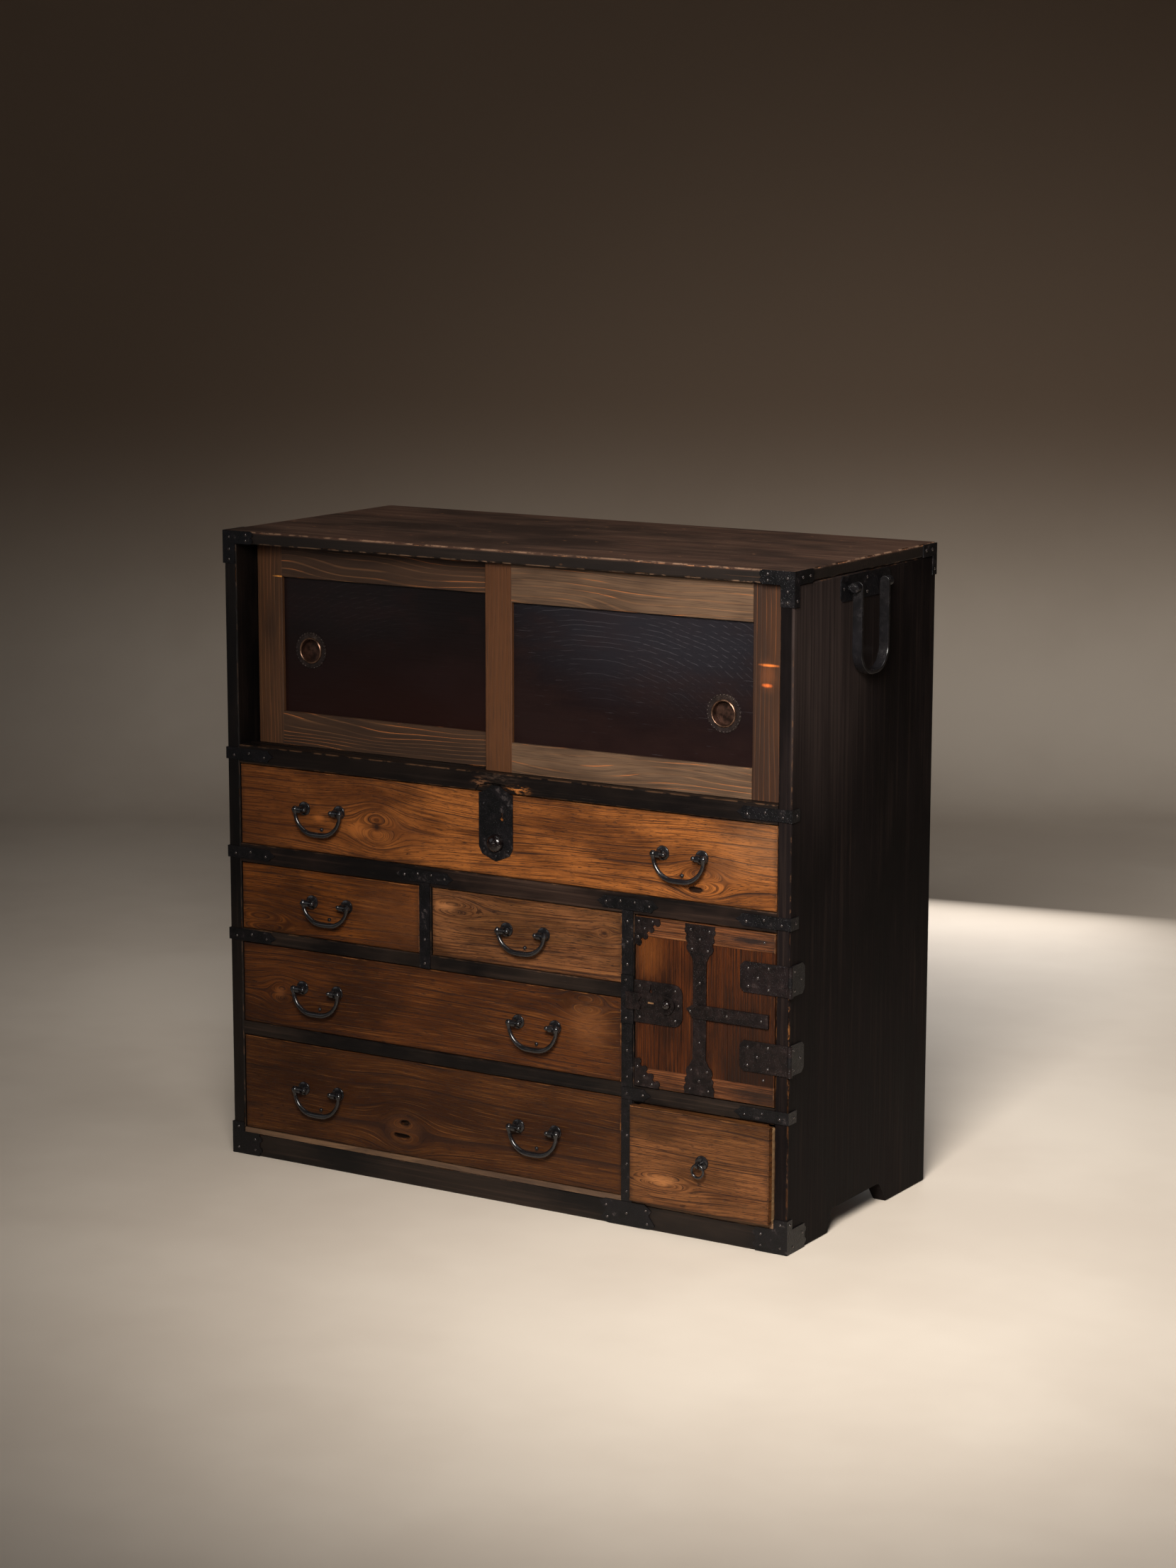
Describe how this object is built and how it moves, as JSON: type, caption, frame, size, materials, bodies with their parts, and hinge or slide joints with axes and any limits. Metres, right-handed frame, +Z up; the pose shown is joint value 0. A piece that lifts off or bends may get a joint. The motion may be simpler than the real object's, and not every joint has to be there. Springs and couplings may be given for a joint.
{
  "type": "merchant chest",
  "caption": "Wooden merchant chest with sliding doors over iron-handled drawers, a hinged safe door with lock and straps, a ring drawer and side carrying handles.",
  "frame": {"origin": "on the floor, under the middle of the whole chest with its handles", "axes": "+X to the right seen from the front, +Y from the front to the back, +Z up"},
  "size_m": [0.934, 0.429, 0.895],
  "materials": {
    "case_wood": "near-black lacquer, worn to brown on the edges",
    "top_wood": "dark brown lacquer, worn",
    "raw_wood": "bare softwood, aged",
    "drawer_wood": "warm brown, waxed, strong grain",
    "door_frame_wood": "greyish brown softwood, worn",
    "door_panel_wood": "dark reddish lacquer, half gloss",
    "safe_wood": "reddish brown, waxed",
    "black_iron": "black wrought iron, mottled",
    "bail_iron": "black iron, polished by hands",
    "bronze": "copper cup with a dark bronze ring"
  },
  "bodies": {
    "carcass": {"side_panel_left": "case_wood", "side_panel_right": "case_wood", "top_board": "top_wood", "bottom_board": "case_wood", "back_boards": "raw_wood", "sill_rail": "case_wood", "upper_rail": "case_wood", "drawer_rails": "case_wood", "plinth_rail": "case_wood", "main_divider": "case_wood", "small_divider": "case_wood", "dust_boards": "raw_wood", "carcass_irons": "black_iron", "carcass_nails": "black_iron", "side_irons": "black_iron"},
    "left_handle": {"side_handle_left": "black_iron"},
    "right_handle": {"side_handle_right": "black_iron"},
    "left_door": {"left_door_frame": "door_frame_wood", "left_door_panel": "door_panel_wood", "left_door_pull": "bronze"},
    "right_door": {"right_door_frame": "door_frame_wood", "right_door_panel": "door_panel_wood", "right_door_pull": "bronze"},
    "safe_door": {"safe_door_panel": "safe_wood", "safe_door_battens": "safe_wood", "safe_door_irons": "black_iron", "safe_door_nails": "black_iron", "safe_lock_plate": "black_iron"},
    "safe_bolt": {"safe_lock_bolt": "black_iron"},
    "safe_button": {"safe_lock_button": "black_iron"},
    "long_drawer": {"long_drawer_front": "drawer_wood", "long_drawer_box": "raw_wood", "long_drawer_posts": "bail_iron", "long_drawer_lock_plate": "black_iron"},
    "long_drawer_bail_left": {"long_drawer_bail_left": "bail_iron"},
    "long_drawer_bail_right": {"long_drawer_bail_right": "bail_iron"},
    "small_left_drawer": {"small_left_drawer_front": "drawer_wood", "small_left_drawer_box": "raw_wood", "small_left_drawer_posts": "bail_iron"},
    "small_left_drawer_bail": {"small_left_drawer_bail": "bail_iron"},
    "small_right_drawer": {"small_right_drawer_front": "drawer_wood", "small_right_drawer_box": "raw_wood", "small_right_drawer_posts": "bail_iron"},
    "small_right_drawer_bail": {"small_right_drawer_bail": "bail_iron"},
    "middle_drawer": {"middle_drawer_front": "drawer_wood", "middle_drawer_box": "raw_wood", "middle_drawer_posts": "bail_iron"},
    "middle_drawer_bail_left": {"middle_drawer_bail_left": "bail_iron"},
    "middle_drawer_bail_right": {"middle_drawer_bail_right": "bail_iron"},
    "bottom_drawer": {"bottom_drawer_front": "drawer_wood", "bottom_drawer_box": "raw_wood", "bottom_drawer_posts": "bail_iron"},
    "bottom_drawer_bail_left": {"bottom_drawer_bail_left": "bail_iron"},
    "bottom_drawer_bail_right": {"bottom_drawer_bail_right": "bail_iron"},
    "ring_drawer": {"ring_drawer_front": "drawer_wood", "ring_drawer_box": "raw_wood", "ring_drawer_post": "bail_iron"},
    "drawer_ring": {"ring_drawer_ring": "bail_iron"},
    "long_bolt": {"long_drawer_lock_bolt": "black_iron"},
    "long_button": {"long_drawer_lock_button": "black_iron"}
  },
  "joints": [
    {"name": "left_handle_swing", "type": "hinge", "parent": "carcass", "child": "left_handle", "pos_m": [-0.46, 0.0075, 0.86], "axis": [0, 1, 0], "range_deg": [0, 180]},
    {"name": "right_handle_swing", "type": "hinge", "parent": "carcass", "child": "right_handle", "pos_m": [0.46, 0.0075, 0.86], "axis": [0, -1, 0], "range_deg": [0, 180]},
    {"name": "left_door_slide", "type": "slide", "parent": "carcass", "child": "left_door", "axis": [1, 0, 0], "range_m": [-0.0095, 0.3985]},
    {"name": "right_door_slide", "type": "slide", "parent": "carcass", "child": "right_door", "axis": [-1, 0, 0], "range_m": [-0.0035, 0.4045]},
    {"name": "safe_door_hinge", "type": "hinge", "parent": "carcass", "child": "safe_door", "pos_m": [0.4528, -0.1883, 0.3125], "axis": [0, 0, 1], "range_deg": [0, 180]},
    {"name": "safe_bolt_slide", "type": "slide", "parent": "safe_door", "child": "safe_bolt", "axis": [-1, 0, 0], "range_m": [0, 0.008]},
    {"name": "safe_button_press", "type": "slide", "parent": "safe_door", "child": "safe_button", "axis": [0, 1, 0], "range_m": [0, 0.003], "stiffness_N_per_m": 300},
    {"name": "long_drawer_slide", "type": "slide", "parent": "carcass", "child": "long_drawer", "axis": [0, -1, 0], "range_m": [0, 0.33]},
    {"name": "long_drawer_bail_left_swing", "type": "hinge", "parent": "long_drawer", "child": "long_drawer_bail_left", "pos_m": [-0.289, -0.1955, 0.51425], "axis": [-1, 0, 0], "range_deg": [-8, 160]},
    {"name": "long_drawer_bail_right_swing", "type": "hinge", "parent": "long_drawer", "child": "long_drawer_bail_right", "pos_m": [0.289, -0.1955, 0.51425], "axis": [-1, 0, 0], "range_deg": [-8, 160]},
    {"name": "small_left_drawer_slide", "type": "slide", "parent": "carcass", "child": "small_left_drawer", "axis": [0, -1, 0], "range_m": [0, 0.33]},
    {"name": "small_left_drawer_bail_swing", "type": "hinge", "parent": "small_left_drawer", "child": "small_left_drawer_bail", "pos_m": [-0.27775, -0.1955, 0.3825], "axis": [-1, 0, 0], "range_deg": [-8, 160]},
    {"name": "small_right_drawer_slide", "type": "slide", "parent": "carcass", "child": "small_right_drawer", "axis": [0, -1, 0], "range_m": [0, 0.33]},
    {"name": "small_right_drawer_bail_swing", "type": "hinge", "parent": "small_right_drawer", "child": "small_right_drawer_bail", "pos_m": [0.04575, -0.1955, 0.3825], "axis": [-1, 0, 0], "range_deg": [-8, 160]},
    {"name": "middle_drawer_slide", "type": "slide", "parent": "carcass", "child": "middle_drawer", "axis": [0, -1, 0], "range_m": [0, 0.33]},
    {"name": "middle_drawer_bail_left_swing", "type": "hinge", "parent": "middle_drawer", "child": "middle_drawer_bail_left", "pos_m": [-0.296, -0.1955, 0.2575], "axis": [-1, 0, 0], "range_deg": [-8, 160]},
    {"name": "middle_drawer_bail_right_swing", "type": "hinge", "parent": "middle_drawer", "child": "middle_drawer_bail_right", "pos_m": [0.064, -0.1955, 0.2575], "axis": [-1, 0, 0], "range_deg": [-8, 160]},
    {"name": "bottom_drawer_slide", "type": "slide", "parent": "carcass", "child": "bottom_drawer", "axis": [0, -1, 0], "range_m": [0, 0.33]},
    {"name": "bottom_drawer_bail_left_swing", "type": "hinge", "parent": "bottom_drawer", "child": "bottom_drawer_bail_left", "pos_m": [-0.296, -0.1955, 0.11175], "axis": [-1, 0, 0], "range_deg": [-8, 160]},
    {"name": "bottom_drawer_bail_right_swing", "type": "hinge", "parent": "bottom_drawer", "child": "bottom_drawer_bail_right", "pos_m": [0.064, -0.1955, 0.11175], "axis": [-1, 0, 0], "range_deg": [-8, 160]},
    {"name": "ring_drawer_slide", "type": "slide", "parent": "carcass", "child": "ring_drawer", "axis": [0, -1, 0], "range_m": [-0.0135, 0.33]},
    {"name": "drawer_ring_swing", "type": "hinge", "parent": "ring_drawer", "child": "drawer_ring", "pos_m": [0.3295, -0.2095, 0.1095], "axis": [-1, 0, 0], "range_deg": [-25, 150]},
    {"name": "long_bolt_slide", "type": "slide", "parent": "long_drawer", "child": "long_bolt", "axis": [0, 0, 1], "range_m": [0, 0.008]},
    {"name": "long_button_press", "type": "slide", "parent": "long_drawer", "child": "long_button", "axis": [0, 1, 0], "range_m": [0, 0.003], "stiffness_N_per_m": 300}
  ]
}
